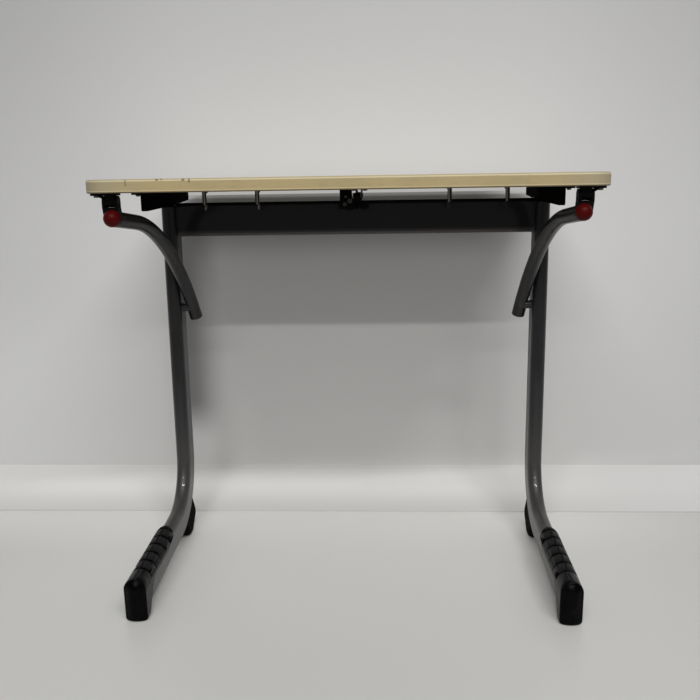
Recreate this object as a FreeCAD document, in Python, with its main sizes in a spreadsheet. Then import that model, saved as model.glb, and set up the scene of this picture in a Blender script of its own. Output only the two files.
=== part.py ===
import FreeCAD, Part
import math
import os
import re
import Sketcher

# Single drawing table: a tilting board on two bent C legs.
# Frame: millimetres, +Z up, the floor at Z 0, X across the table, -Y towards the person who sits at it.
# The origin is on the floor, midway between the legs and midway between the board's long edges.

SIZES = {
    # board
    "top_width": 700,
    "top_depth": 500,
    "top_height": 640,
    "top_thickness": 18,
    "corner_radius": 30,
    "rim_width": 8,
    "rim_top_round": 3,
    "rim_bottom_round": 2,
    "sheet_thickness": 0.8,
    # legs
    "leg_inset": 32,
    "tube_width": 25,
    "tube_depth": 50,
    "tube_wall": 2,
    "column_setback": 332,
    "leg_bend_radius": 100,
    "foot_slope": 4.2,
    "toe_height": 28.5,
    "toe_setback": 7,
    "plug_lip": 2,
    "plug_stub": 20,
    "plug_fit": 0.1,
    # foot cap and heel glide
    "cap_wall": 4.2,
    "cap_length": 180,
    "cap_height": 66.5,
    "cap_slope": 2.2,
    "cap_setback": 0.5,
    "cap_skirt": 20,
    "cap_sole": 14,
    "cap_front_round": 4,
    "cap_sole_round": 6,
    "cap_fit": 0.1,
    "seam_width": 1.2,
    "seam_sink": 0.6,
    "rib_count": 6,
    "rib_pitch": 26.5,
    "rib_start": 35,
    "rib_width": 2,
    "rib_sink": 1.2,
    "heel_width": 24,
    "heel_front": 34,
    "heel_back": 12,
    "heel_rise": 66,
    "heel_sole_round": 9,
    "heel_sole": 16,
    # cross beam
    "beam_height": 57,
    "beam_depth": 24,
    "beam_wall": 2,
    "beam_round": 6,
    "beam_gap": 20,
    # arms
    "arm_inset": 5,
    "arm_drop": 33.8,
    "arm_setback": 15,
    "arm_diameter": 22,
    "arm_wall": 1.5,
    "arm_lean": 8.7,
    "arm_slope": 5.4,
    "arm_bend_lead": 219,
    "arm_bend_radius": 260,
    "arm_bend_angle": 65,
    "arm_tail": 8,
    "boss_radius": 7,
    "boss_lead": 8,
    "boss_drop": 201,
    "ball_diameter": 23,
    "ball_stub": 18,
    # tilt hinges
    "hinge_setback": 28,
    "hinge_drop": 11,
    "pin_diameter": 6,
    "pin_fit": 0.05,
    "saddle_width": 21,
    "saddle_shift": 2,
    "tongue_width": 12,
    "leaf_length": 22,
    "leaf_thickness": 3,
    "leaf_reach": 25,
    "gusset_depth": 5,
    "gusset_thickness": 3,
    # rear carriers
    "carrier_width": 24,
    "carrier_lead": 131,
    "carrier_length": 214,
    "carrier_nose": 8,
    "carrier_taper": 100,
    "carrier_height": 30,
    "carrier_tail": 16,
    "carrier_wall": 3,
    "carrier_round": 4,
    "ear_reach": 15,
    "ear_length": 24,
    "ear_thickness": 4,
    "buffer_radius": 9,
    "buffer_drop": 23.7,
    "buffer_seat": 3,
    "rest_clearance": 0.3,
    # tilt stay
    "stay_offset": 6,
    "stay_lead": 26,
    "stay_drop": 13,
    "stay_length": 150,
    "stay_width": 6,
    "stay_depth": 12,
    "side_clearance": 0.3,
    "ear_plate": 3,
    "rail_wall": 2,
    "rail_height": 20,
    "rail_gap": 70,
    "rail_length": 72,
    "rail_flange": 11,
    "slot_start": 20,
    "slot_clearance": 1.3,
    "notch_pitch": 8,
    "notch_radius": 3.3,
    "notch_depth": 2,
    "notch_count": 4,
    "plate_width": 52,
    "plate_height": 13,
    "plate_thickness": 3,
    "plate_drop": 1,
    # latch
    "latch_centre": 12,
    "housing_width": 20,
    "housing_height": 21,
    "housing_depth": 19,
    "housing_lead": 43.5,
    "housing_round": 2,
    "lever_thickness": 2.5,
    "lever_drop": 20,
    "lever_offset": 5,
    "lever_eye": 5,
    "lever_pin_radius": 2.5,
    "finger_inner": 12.5,
    "finger_outer": 16,
    "thumb_reach": 20,
    "stud_radius": 2,
    "stud_orbit": 10,
    "stud_angle": 58,
    # bag hooks
    "hook_left_inset": 101,
    "hook_right_inset": 95,
    "hook_inner_inset": 190,
    "hook_lead": 42,
    "hook_width": 7,
    "hook_sheet": 1.5,
    "hook_plate": 22,
    "hook_drop": 22,
    "prong_length": 11,
    "prong_width": 3.5,
    "prong_lean": 3,
    "prong_lip": 7,
    # fasteners
    "screw_shank": 3.5,
    "screw_head": 8,
    "screw_head_height": 2.6,
    "screw_bite": 11,
    "screw_fit": 0.05,
}

doc = FreeCAD.newDocument("drawing_table")
sheet = doc.addObject("Spreadsheet::Sheet", "Sizes")
for row, (alias, number) in enumerate(SIZES.items(), start=1):
    sheet.set("A%d" % row, alias)
    sheet.set("B%d" % row, str(number))
    sheet.setAlias("B%d" % row, alias)
doc.recompute()

# Places that several pieces share, written as expressions on the sheet's names.
UNDERSIDE = "(top_height - top_thickness)"
FRONT = "(-top_depth / 2)"
LEG_X = "(top_width / 2 - leg_inset)"
COLUMN_Y = "(column_setback - top_depth / 2)"
BUFFER_BOTTOM = "(%s - buffer_drop)" % UNDERSIDE
PLUG_TOP = "(%s - rest_clearance)" % BUFFER_BOTTOM
COLUMN_TOP = "(%s - plug_lip)" % PLUG_TOP
TOE_Y = "(%s + toe_setback)" % FRONT
BEAM_TOP = "(%s - beam_gap)" % UNDERSIDE
BEAM_FRONT = "(%s - beam_depth / 2)" % COLUMN_Y
ARM_X = "(%s - arm_inset)" % LEG_X
ARM_Y = "(%s + arm_setback)" % FRONT
ARM_Z = "(%s - arm_drop)" % UNDERSIDE
ARM_STRAIGHT = "(%s - %s - arm_bend_lead)" % (COLUMN_Y, ARM_Y)
HINGE_Y = "(%s + hinge_setback)" % FRONT
HINGE_Z = "(%s - hinge_drop)" % UNDERSIDE
KNUCKLE = "(hinge_drop - leaf_thickness - side_clearance)"
CARRIER_Y = "(%s - carrier_lead)" % COLUMN_Y
STAY_Y = "(%s - stay_lead)" % COLUMN_Y
STAY_Z = "(%s - stay_drop)" % UNDERSIDE
RAIL_Y = "(%s + rail_gap)" % COLUMN_Y
HOUSING_Y = "(%s - housing_lead)" % COLUMN_Y
HOOK_Y = "(%s - hook_lead)" % COLUMN_Y
LEVER_X = "(-lever_offset)"
LEVER_Z = "(%s - lever_drop)" % UNDERSIDE
LEVER_Y = "(%s - side_clearance - lever_thickness)" % HOUSING_Y
PLATE_Y = "(%s - plate_thickness)" % BEAM_FRONT
PLATE_TOP = "(%s - plate_drop)" % BEAM_TOP
SHANK_HOLE = "(screw_shank / 2 + screw_fit)"

SIDES = (("left", -1), ("right", 1))
parts = []


def bound(expression):
    """The expression with each name of the sheet made a reference to its cell."""
    return re.sub(r"[a-z_]+", lambda word: "Sizes." + word[0] if word[0] in SIZES else word[0],
                  str(expression))


def value(expression):
    return float(sheet.evalExpression(bound(expression)))


def keep(piece):
    """Mark an object as a sub-part that is written out."""
    parts.append(piece)
    return piece


def place(piece, x="0", y="0", z="0", pitch="0", roll="0"):
    """Bind a piece's place: a turn by roll about X, then by pitch about Y, then the move."""
    piece.setExpression("Placement", bound(
        "placement(vector(%s; %s; %s); rotation(0deg; (%s) * 1deg; (%s) * 1deg))"
        % (x, y, z, pitch, roll)))


def new_body(label):
    body = doc.addObject("PartDesign::Body", label)
    body.Label = label
    return body


def new_sketch(body, role, offset="0"):
    """A sketch on one of the body's own planes, moved along the plane's normal."""
    plane = next(item for item in body.Origin.OriginFeatures if item.Role == role)
    sketch = body.newObject("Sketcher::SketchObject", "%s_sketch" % body.Label)
    sketch.AttachmentSupport = [(plane, "")]
    sketch.MapMode = "FlatFace"
    sketch.setExpression("AttachmentOffset.Base.z", bound(offset))
    return sketch


def constrain(sketch, kind, *arguments, to):
    """Add a dimension that follows an expression."""
    index = sketch.addConstraint(Sketcher.Constraint(kind, *arguments, value(to)))
    sketch.setExpression("Constraints[%d]" % index, bound(to))


def slant(sketch, geometry, degrees):
    """Fix a line's direction, in degrees from the sketch's X axis."""
    index = sketch.addConstraint(Sketcher.Constraint("Angle", geometry, math.radians(value(degrees))))
    sketch.setExpression("Constraints[%d]" % index, bound("(%s) * 1deg" % degrees))


def fix_point(sketch, geometry, position, x, y):
    constrain(sketch, "DistanceX", -1, 1, geometry, position, to=x)
    constrain(sketch, "DistanceY", -1, 1, geometry, position, to=y)


def outline(sketch, points, rounds=None):
    """A closed polygon through points given as expressions; rounds maps a corner to its radius."""
    first = sketch.GeometryCount
    count = len(points)
    corners = [FreeCAD.Vector(value(x), value(y), 0) for x, y in points]
    for index in range(count):
        sketch.addGeometry(Part.LineSegment(corners[index], corners[(index + 1) % count]), False)
    for index in range(count):
        after = first + (index + 1) % count
        sketch.addConstraint(Sketcher.Constraint("Coincident", first + index, 2, after, 1))
    for index, (x, y) in enumerate(points):
        fix_point(sketch, first + index, 1, x, y)
    for corner, radius in (rounds or {}).items():
        sketch.fillet(first + (corner - 1) % count, 2, value(radius), True, True)
        arcs = [item for item, shape in enumerate(sketch.Geometry) if isinstance(shape, Part.ArcOfCircle)]
        constrain(sketch, "Radius", arcs[-1], to=radius)


def rectangle(sketch, x_low, x_high, y_low, y_high, radius=None):
    points = [(x_low, y_low), (x_high, y_low), (x_high, y_high), (x_low, y_high)]
    outline(sketch, points, {corner: radius for corner in range(4)} if radius else None)


def circle(sketch, x, y, radius):
    centre = FreeCAD.Vector(value(x), value(y), 0)
    index = sketch.addGeometry(Part.Circle(centre, FreeCAD.Vector(0, 0, 1), value(radius)), False)
    fix_point(sketch, index, 3, x, y)
    constrain(sketch, "Radius", index, to=radius)


def slot(sketch, start, end, radius):
    """A long hole: two half circles about start and end, joined by tangent lines."""
    a = FreeCAD.Vector(value(start[0]), value(start[1]), 0)
    b = FreeCAD.Vector(value(end[0]), value(end[1]), 0)
    size = value(radius)
    heading = math.atan2(b.y - a.y, b.x - a.x)
    side = FreeCAD.Vector(-math.sin(heading), math.cos(heading), 0) * size
    up = FreeCAD.Vector(0, 0, 1)
    quarter = math.pi / 2
    first = sketch.GeometryCount
    sketch.addGeometry(Part.LineSegment(a - side, b - side), False)
    far_end = Part.Circle(b, up, size)
    sketch.addGeometry(Part.ArcOfCircle(far_end, heading - quarter, heading + quarter), False)
    sketch.addGeometry(Part.LineSegment(b + side, a + side), False)
    near_end = Part.Circle(a, up, size)
    sketch.addGeometry(Part.ArcOfCircle(near_end, heading + quarter, heading + 3 * quarter), False)
    for index in range(4):
        after = first + (index + 1) % 4
        sketch.addConstraint(Sketcher.Constraint("Tangent", first + index, 2, after, 1))
    sketch.addConstraint(Sketcher.Constraint("Equal", first + 1, first + 3))
    fix_point(sketch, first + 1, 3, *end)
    fix_point(sketch, first + 3, 3, *start)
    constrain(sketch, "Radius", first + 1, to=radius)


def oval(sketch, width, depth):
    """The section of the leg tube: flat sides and round ends, the long way along the sketch's Y."""
    reach = "((%s) - (%s)) / 2" % (depth, width)
    slot(sketch, ("0", "-(%s)" % reach), ("0", reach), "(%s) / 2" % width)


def arch(sketch, radius, centre, bottom, corner=None):
    """A half circle on straight sides that end at a flat edge, with its corners rounded if asked."""
    size, middle, low = value(radius), value(centre), value(bottom)
    point = FreeCAD.Vector
    first = sketch.GeometryCount
    sketch.addGeometry(Part.LineSegment(point(size, low, 0), point(size, middle, 0)), False)
    ring = Part.Circle(point(0, middle, 0), point(0, 0, 1), size)
    turn = (0, math.pi) if middle > low else (-math.pi, 0)
    sketch.addGeometry(Part.ArcOfCircle(ring, *turn), False)
    sketch.addGeometry(Part.LineSegment(point(-size, middle, 0), point(-size, low, 0)), False)
    sketch.addGeometry(Part.LineSegment(point(-size, low, 0), point(size, low, 0)), False)
    near, far = (1, 2) if middle > low else (2, 1)
    sketch.addConstraint(Sketcher.Constraint("Tangent", first, 2, first + 1, near))
    sketch.addConstraint(Sketcher.Constraint("Tangent", first + 1, far, first + 2, 1))
    sketch.addConstraint(Sketcher.Constraint("Coincident", first + 2, 2, first + 3, 1))
    sketch.addConstraint(Sketcher.Constraint("Coincident", first + 3, 2, first, 1))
    sketch.addConstraint(Sketcher.Constraint("Vertical", first))
    sketch.addConstraint(Sketcher.Constraint("Vertical", first + 2))
    sketch.addConstraint(Sketcher.Constraint("Horizontal", first + 3))
    fix_point(sketch, first + 1, 3, "0", centre)
    constrain(sketch, "Radius", first + 1, to=radius)
    constrain(sketch, "DistanceY", -1, 1, first, 1, to=bottom)
    for line in (first + 2, first + 3) if corner else ():
        sketch.fillet(line, 2, value(corner), True, True)
        constrain(sketch, "Radius", sketch.GeometryCount - 2, to=corner)


def pad(body, sketch, length, both_ways=False, backwards=False):
    feature = body.newObject("PartDesign::Pad", "%s_pad" % body.Label)
    feature.Profile = sketch
    feature.Midplane = both_ways
    feature.Reversed = backwards
    feature.setExpression("Length", bound(length))
    doc.recompute()
    return feature


def pocket(body, sketch, length=None, both_ways=False, backwards=False):
    """Cut a sketch out of the body, by a length or right through, and make sure that it did cut."""
    before = body.Shape.Volume
    feature = body.newObject("PartDesign::Pocket", "%s_pocket" % body.Label)
    feature.Profile = sketch
    feature.Midplane = both_ways
    feature.Reversed = backwards
    if length is None:
        feature.Type = "ThroughAll"
    else:
        feature.setExpression("Length", bound(length))
    doc.recompute()
    if not body.Shape.Volume < before - 0.01:
        raise ValueError("%s cuts nothing" % feature.Name)
    return feature


def fillet(body, radius, wanted):
    """Round the edges of the body's tip that the function wanted accepts."""
    base = body.Tip
    names = ["Edge%d" % number for number, edge in enumerate(base.Shape.Edges, start=1) if wanted(edge)]
    if not names:
        raise ValueError("%s has no such edge to round" % body.Label)
    feature = body.newObject("PartDesign::Fillet", "%s_fillet" % body.Label)
    feature.Base = (base, names)
    feature.setExpression("Radius", bound(radius))
    doc.recompute()
    return feature


def at_height(level):
    """A test for edges that lie wholly at one height."""
    return lambda edge: all(abs(edge.BoundBox.__getattribute__(side) - value(level)) < 0.01
                            for side in ("ZMin", "ZMax"))


def cylinder(label, radius, length, x="0", y="0", z="0", pitch="0", roll="0"):
    piece = doc.addObject("Part::Cylinder", label)
    piece.setExpression("Radius", bound(radius))
    piece.setExpression("Height", bound(length))
    place(piece, x, y, z, pitch, roll)
    return piece


def fuse(label, first, second):
    piece = doc.addObject("Part::Fuse", label)
    piece.Base = first
    piece.Tool = second
    piece.Refine = True
    return piece


def cut(label, first, second):
    piece = doc.addObject("Part::Cut", label)
    piece.Base = first
    piece.Tool = second
    return piece


# ---- fasteners: where each wood screw enters the board, and the face its head bears on ----

HINGE_SCREW_X = "(%s + saddle_width / 4 + leaf_reach / 2)" % LEG_X
HINGE_SCREW_Y = "(leaf_length * 0.3)"
EAR_SCREW_X = "(%s + carrier_width / 2 + ear_reach / 2)" % LEG_X
EAR_Y = ("(%s + ear_length / 2)" % CARRIER_Y, "(%s + carrier_length - ear_length / 2)" % CARRIER_Y)
HOOK_X = ("(hook_left_inset - top_width / 2)", "(hook_inner_inset - top_width / 2)",
          "(top_width / 2 - hook_inner_inset)", "(top_width / 2 - hook_right_inset)")
RAIL_INNER = "(stay_width / 2 + 2 * side_clearance)"
RAIL_SCREWS = [("(%d * (%s + rail_wall + rail_flange / 2))" % (side, RAIL_INNER),
                "(%s + %s)" % (RAIL_Y, along))
               for side in (-1, 1) for along in ("8", "rail_length - 8")]

SCREWS = {
    "hinge_screws": ("leaf_thickness", [("(%d * %s)" % (side, HINGE_SCREW_X),
                                         "(%s + %d * %s)" % (HINGE_Y, end, HINGE_SCREW_Y))
                                        for _, side in SIDES for end in (-1, 1)]),
    "carrier_screws": ("ear_thickness", [("(%d * %s)" % (side, EAR_SCREW_X), y)
                                         for _, side in SIDES for y in EAR_Y]),
    "hook_screws": ("hook_sheet", [(x, "(%s + hook_plate * 0.6)" % HOOK_Y) for x in HOOK_X]),
    "rail_screws": ("rail_wall", [("(stay_offset + %s)" % x, y) for x, y in RAIL_SCREWS]),
}


def screws(label, seat, points):
    """Identical pan-head wood screws driven up into the board, as separate solids."""
    level = "(%s - %s)" % (UNDERSIDE, seat)
    pieces = []
    for number, (x, y) in enumerate(points, start=1):
        shank = cylinder("%s_shank_%d" % (label, number), "screw_shank / 2",
                         "%s + screw_bite" % seat, x, y, level)
        head = doc.addObject("Part::Cone", "%s_head_%d" % (label, number))
        head.setExpression("Radius1", bound("screw_head * 0.36"))
        head.setExpression("Radius2", bound("screw_head / 2"))
        head.setExpression("Height", bound("screw_head_height"))
        place(head, x, y, "%s - screw_head_height" % level)
        pieces.append(fuse("%s_%d" % (label, number), shank, head))
    group = doc.addObject("Part::Compound", label)
    group.Links = pieces
    keep(group)


def drill(body, level, length):
    """Pilot holes for every wood screw, from the given height upwards."""
    sketch = new_sketch(body, "XY_Plane", level)
    for _, points in SCREWS.values():
        for x, y in points:
            circle(sketch, x, y, SHANK_HOLE)
    pocket(body, sketch, length, backwards=True)


# ---- board ----

def board_sheet(label, bottom, thickness):
    """One flat layer of the board, inside the moulded rim."""
    body = new_body(label)
    sketch = new_sketch(body, "XY_Plane", bottom)
    half_x = "(top_width / 2 - rim_width)"
    half_y = "(top_depth / 2 - rim_width)"
    rectangle(sketch, "-" + half_x, half_x, "-" + half_y, half_y, "max(corner_radius - rim_width; 1)")
    pad(body, sketch, thickness)
    return keep(body)


def edge_moulding():
    """The moulded rim, cast round the board, with its outer arrises rounded."""
    body = new_body("edge_moulding")
    sketch = new_sketch(body, "XY_Plane", UNDERSIDE)
    rectangle(sketch, "-top_width / 2", "top_width / 2", FRONT, "top_depth / 2", "corner_radius")
    pad(body, sketch, "top_thickness")
    fillet(body, "rim_top_round", at_height("top_height"))
    fillet(body, "rim_bottom_round", at_height(UNDERSIDE))
    sketch = new_sketch(body, "XY_Plane", "top_height")
    half_x = "(top_width / 2 - rim_width)"
    half_y = "(top_depth / 2 - rim_width)"
    rectangle(sketch, "-" + half_x, half_x, "-" + half_y, half_y, "max(corner_radius - rim_width; 1)")
    pocket(body, sketch)
    keep(body)


backing = board_sheet("backing_laminate", UNDERSIDE, "sheet_thickness")
drill(backing, UNDERSIDE, "sheet_thickness")
core = board_sheet("board_core", "%s + sheet_thickness" % UNDERSIDE, "top_thickness - 2 * sheet_thickness")
drill(core, "%s + sheet_thickness" % UNDERSIDE, "screw_bite - sheet_thickness + 1")
board_sheet("top_laminate", "top_height - sheet_thickness", "sheet_thickness")
edge_moulding()


# ---- legs ----

def leg_path(body):
    """Down the column, round the bend and along the sloping foot, in the leg's own upright plane."""
    path = new_sketch(body, "YZ_Plane")
    slope = math.radians(value("foot_slope"))
    radius = value("leg_bend_radius")
    toe = FreeCAD.Vector(value("%s - %s" % (TOE_Y, COLUMN_Y)), value("toe_height"), 0)
    along = FreeCAD.Vector(math.cos(slope), math.sin(slope), 0)
    foot_end = toe + along * ((radius * math.sin(slope) - radius - toe.x) / along.x)
    centre = foot_end + FreeCAD.Vector(-math.sin(slope), math.cos(slope), 0) * radius
    column_end = FreeCAD.Vector(0, centre.y, 0)
    path.addGeometry(Part.LineSegment(FreeCAD.Vector(0, value(COLUMN_TOP), 0), column_end), False)
    ring = Part.Circle(centre, FreeCAD.Vector(0, 0, 1), radius)
    path.addGeometry(Part.ArcOfCircle(ring, slope - math.pi / 2, 0), False)
    path.addGeometry(Part.LineSegment(toe, foot_end), False)
    path.addConstraint(Sketcher.Constraint("Tangent", 0, 2, 1, 2))
    path.addConstraint(Sketcher.Constraint("Tangent", 1, 1, 2, 2))
    path.addConstraint(Sketcher.Constraint("Vertical", 0))
    fix_point(path, 0, 1, "0", COLUMN_TOP)
    fix_point(path, 2, 1, "%s - %s" % (TOE_Y, COLUMN_Y), "toe_height")
    constrain(path, "Radius", 1, to="leg_bend_radius")
    slant(path, 2, "foot_slope")
    return path


def leg_pipe(body, *sections):
    """Sweep oval sections, each an outer width and depth, along the leg."""
    section = new_sketch(body, "XY_Plane", COLUMN_TOP)
    for width, depth in sections:
        oval(section, width, depth)
    pipe = body.newObject("PartDesign::AdditivePipe", "%s_pipe" % body.Label)
    pipe.Profile = section
    pipe.Spine = (leg_path(body), [])
    doc.recompute()


def leg(name, side):
    body = new_body("leg_%s" % name)
    leg_pipe(body, ("tube_width", "tube_depth"), ("tube_width - 2 * tube_wall", "tube_depth - 2 * tube_wall"))
    place(body, "%d * %s" % (side, LEG_X), COLUMN_Y)
    keep(body)


def column_plug(name, side):
    """Closes the column's top: a lip on the tube's end and a stub inside it."""
    body = new_body("column_plug_%s" % name)
    sketch = new_sketch(body, "XY_Plane", COLUMN_TOP)
    oval(sketch, "tube_width", "tube_depth")
    pad(body, sketch, "plug_lip")
    sketch = new_sketch(body, "XY_Plane", COLUMN_TOP)
    inset = "2 * (tube_wall + plug_fit)"
    oval(sketch, "tube_width - %s" % inset, "tube_depth - %s" % inset)
    pad(body, sketch, "plug_stub", backwards=True)
    place(body, "%d * %s" % (side, LEG_X), COLUMN_Y)
    keep(body)


def cross_beam():
    body = new_body("cross_beam")
    sketch = new_sketch(body, "YZ_Plane")
    low = "(%s - beam_height)" % BEAM_TOP
    back = "(%s + beam_depth)" % BEAM_FRONT
    rectangle(sketch, BEAM_FRONT, back, low, BEAM_TOP, "beam_round")
    rectangle(sketch, BEAM_FRONT + " + beam_wall", back + " - beam_wall",
              low + " + beam_wall", BEAM_TOP + " - beam_wall", "beam_round - beam_wall")
    pad(body, sketch, "2 * %s - tube_width" % LEG_X, both_ways=True)
    keep(body)


def cap_blank():
    """The shoe of the foot before the tube is cut out of it: a closed nose that stands on the floor,
    a ribbed arch over the tube and side skirts. Its frame lies on the arch's axis at the front face."""
    body = new_body("cap_blank")
    arch_radius = "(tube_width / 2 + cap_wall)"
    axis_height = "(cap_height - %s)" % arch_radius

    def floor_at(run):
        return "-(%s + (%s) * sin(cap_slope * 1deg)) / cos(cap_slope * 1deg)" % (axis_height, run)

    sketch = new_sketch(body, "XZ_Plane")
    arch(sketch, arch_radius, "0", floor_at("cap_sole"), "cap_sole_round")
    pad(body, sketch, "cap_length", backwards=True)
    fillet(body, "cap_front_round", lambda edge: max(abs(edge.BoundBox.YMin), abs(edge.BoundBox.YMax)) < 0.01)

    sketch = new_sketch(body, "YZ_Plane")
    skirt = "(%s - cap_skirt)" % arch_radius
    low = "-%s - 40" % axis_height
    outline(sketch, [
        ("-1", floor_at("-1")),
        ("cap_sole", floor_at("cap_sole")),
        ("cap_sole * 3.4", skirt),
        ("cap_length - 44", skirt),
        ("cap_length - 15", "%s + 8" % skirt),
        ("cap_length", "%s + 0.5" % arch_radius),
        ("cap_length + 10", "%s + 0.5" % arch_radius),
        ("cap_length + 10", low),
        ("-1", low),
    ], {2: "25", 3: "25", 4: "15"})
    pocket(body, sketch, both_ways=True)

    sketch = new_sketch(body, "XZ_Plane")
    rectangle(sketch, "-seam_width / 2", "seam_width / 2",
              "%s - seam_sink" % arch_radius, "%s + 1" % arch_radius)
    pocket(body, sketch)

    sketch = new_sketch(body, "YZ_Plane")
    rectangle(sketch, "rib_start", "rib_start + rib_width",
              "%s - rib_sink" % arch_radius, "%s + 1" % arch_radius)
    groove = body.newObject("PartDesign::Groove", "cap_groove")
    groove.Profile = sketch
    groove.ReferenceAxis = (sketch, ["H_Axis"])
    groove.Midplane = True
    groove.Angle = 160
    doc.recompute()
    pattern = body.newObject("PartDesign::LinearPattern", "cap_ribs")
    pattern.Originals = [groove]
    pattern.Direction = (sketch, ["H_Axis"])
    pattern.setExpression("Length", bound("rib_pitch * (rib_count - 1)"))
    pattern.setExpression("Occurrences", bound("rib_count"))
    body.Tip = pattern
    place(body, y="%s + cap_setback - %s" % (FRONT, COLUMN_Y), z=axis_height, roll="cap_slope")
    return body


def leg_envelope():
    """The leg's outer form with a little clearance, which the mouldings on it are cut to."""
    body = new_body("leg_envelope")
    leg_pipe(body, ("tube_width + 2 * cap_fit", "tube_depth + 2 * cap_fit"))
    return body


def heel_blank():
    """The heel glide before the tube is cut out of it: a keel under and behind the bend."""
    body = new_body("heel_blank")
    sketch = new_sketch(body, "YZ_Plane")
    outline(sketch, [
        ("-heel_front - 34", "toe_height"),
        ("-heel_front", "0"),
        ("heel_sole - heel_front", "0"),
        ("heel_back", "heel_rise * 0.4"),
        ("heel_back", "heel_rise * 0.6"),
        ("-5", "heel_rise"),
        ("-heel_front - 34", "heel_rise"),
    ], {1: "12", 2: "8", 3: "10", 4: "10"})
    pad(body, sketch, "heel_width", both_ways=True)
    fillet(body, "heel_sole_round", lambda edge: edge.BoundBox.XLength < 0.01
           and edge.BoundBox.ZMin < value("heel_rise * 0.5"))
    return body


def moulding(label, side, blank, envelope):
    """A moulded piece that fits the leg closely."""
    piece = cut(label, blank, envelope)
    place(piece, "%d * %s" % (side, LEG_X), COLUMN_Y)
    keep(piece)


cross_beam()
envelope = leg_envelope()
shoe = cap_blank()
wedge = heel_blank()
for name, side in SIDES:
    leg(name, side)
    column_plug(name, side)
    moulding("foot_cap_%s" % name, side, shoe, envelope)
    moulding("heel_glide_%s" % name, side, wedge, envelope)


# ---- arms, from the columns up to the board's front edge ----

def place_on_arm(piece, side, roll="0"):
    """Put a piece in the arm's frame: its front end at the origin and its tube along +Y."""
    place(piece, "%d * %s" % (side, ARM_X), ARM_Y, ARM_Z, "%d * arm_lean" % side,
          "%s - arm_slope" % roll)


def arm_path(body):
    """Straight back from the front end, a wide bend downwards, and a short straight tail."""
    path = new_sketch(body, "YZ_Plane")
    radius = value("arm_bend_radius")
    turn = math.radians(value("arm_bend_angle"))
    start = FreeCAD.Vector(value(ARM_STRAIGHT), 0, 0)
    centre = start + FreeCAD.Vector(0, -radius, 0)
    finish = centre + FreeCAD.Vector(math.sin(turn), math.cos(turn), 0) * radius
    tail = finish + FreeCAD.Vector(math.cos(turn), -math.sin(turn), 0) * value("arm_tail")
    path.addGeometry(Part.LineSegment(FreeCAD.Vector(0, 0, 0), start), False)
    ring = Part.Circle(centre, FreeCAD.Vector(0, 0, 1), radius)
    path.addGeometry(Part.ArcOfCircle(ring, math.pi / 2 - turn, math.pi / 2), False)
    path.addGeometry(Part.LineSegment(finish, tail), False)
    path.addConstraint(Sketcher.Constraint("Coincident", -1, 1, 0, 1))
    path.addConstraint(Sketcher.Constraint("Horizontal", 0))
    path.addConstraint(Sketcher.Constraint("Tangent", 0, 2, 1, 2))
    path.addConstraint(Sketcher.Constraint("Tangent", 1, 1, 2, 1))
    constrain(path, "DistanceX", 0, 1, 0, 2, to=ARM_STRAIGHT)
    constrain(path, "Radius", 1, to="arm_bend_radius")
    slant(path, 2, "-arm_bend_angle")
    constrain(path, "Distance", 2, to="arm_tail")
    return path


def arm(name, side):
    body = new_body("arm_%s" % name)
    section = new_sketch(body, "XZ_Plane")
    circle(section, "0", "0", "arm_diameter / 2")
    circle(section, "0", "0", "arm_diameter / 2 - arm_wall")
    pipe = body.newObject("PartDesign::AdditivePipe", "%s_pipe" % body.Label)
    pipe.Profile = section
    pipe.Spine = (arm_path(body), [])
    doc.recompute()
    place_on_arm(body, side)
    keep(body)


def arm_boss(name, side):
    """The round spacer that is welded between the column's flat side and the arm."""
    boss_y = "(%s - boss_lead)" % COLUMN_Y
    boss_z = "(%s - boss_drop)" % UNDERSIDE
    lean_back = "(boss_drop - arm_drop) * tan(arm_lean * 1deg)"
    arm_centre = "(%s - %s)" % (ARM_X, lean_back)
    column_side = "(%s - tube_width / 2)" % LEG_X
    length = "(%s - %s)" % (column_side, arm_centre)
    start = "%s" % (arm_centre if side > 0 else "-" + column_side)
    blank = cylinder("arm_boss_blank_%s" % name, "boss_radius", length, start, boss_y, boss_z, "90")
    solid_arm = new_body("arm_solid_%s" % name)
    section = new_sketch(solid_arm, "XZ_Plane")
    circle(section, "0", "0", "arm_diameter / 2")
    pipe = solid_arm.newObject("PartDesign::AdditivePipe", "arm_solid_pipe_%s" % name)
    pipe.Profile = section
    pipe.Spine = (arm_path(solid_arm), [])
    doc.recompute()
    place_on_arm(solid_arm, side)
    keep(cut("arm_boss_%s" % name, blank, solid_arm))


def ball_cap(name, side):
    """The ball on the arm's front end, cut flat where it meets the tube, with a stub inside it."""
    ball_radius = "(ball_diameter / 2)"
    seat = "sqrt(%s * %s - arm_diameter * arm_diameter / 4)" % (ball_radius, ball_radius)
    ball = doc.addObject("Part::Sphere", "ball_%s" % name)
    ball.setExpression("Radius", bound(ball_radius))
    ball.setExpression("Angle1", bound("-asin((%s) / %s)" % (seat, ball_radius)))
    place(ball, z=seat)
    stub = cylinder("ball_stub_%s" % name, "arm_diameter / 2 - arm_wall - plug_fit", "ball_stub + %s" % seat,
                    z="-ball_stub")
    piece = fuse("ball_cap_%s" % name, ball, stub)
    place_on_arm(piece, side, roll="90")
    keep(piece)


for name, side in SIDES:
    arm(name, side)
    arm_boss(name, side)
    ball_cap(name, side)


# ---- tilt hinges: a saddle on the arm, a leaf under the board and the pin between them ----

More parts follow.
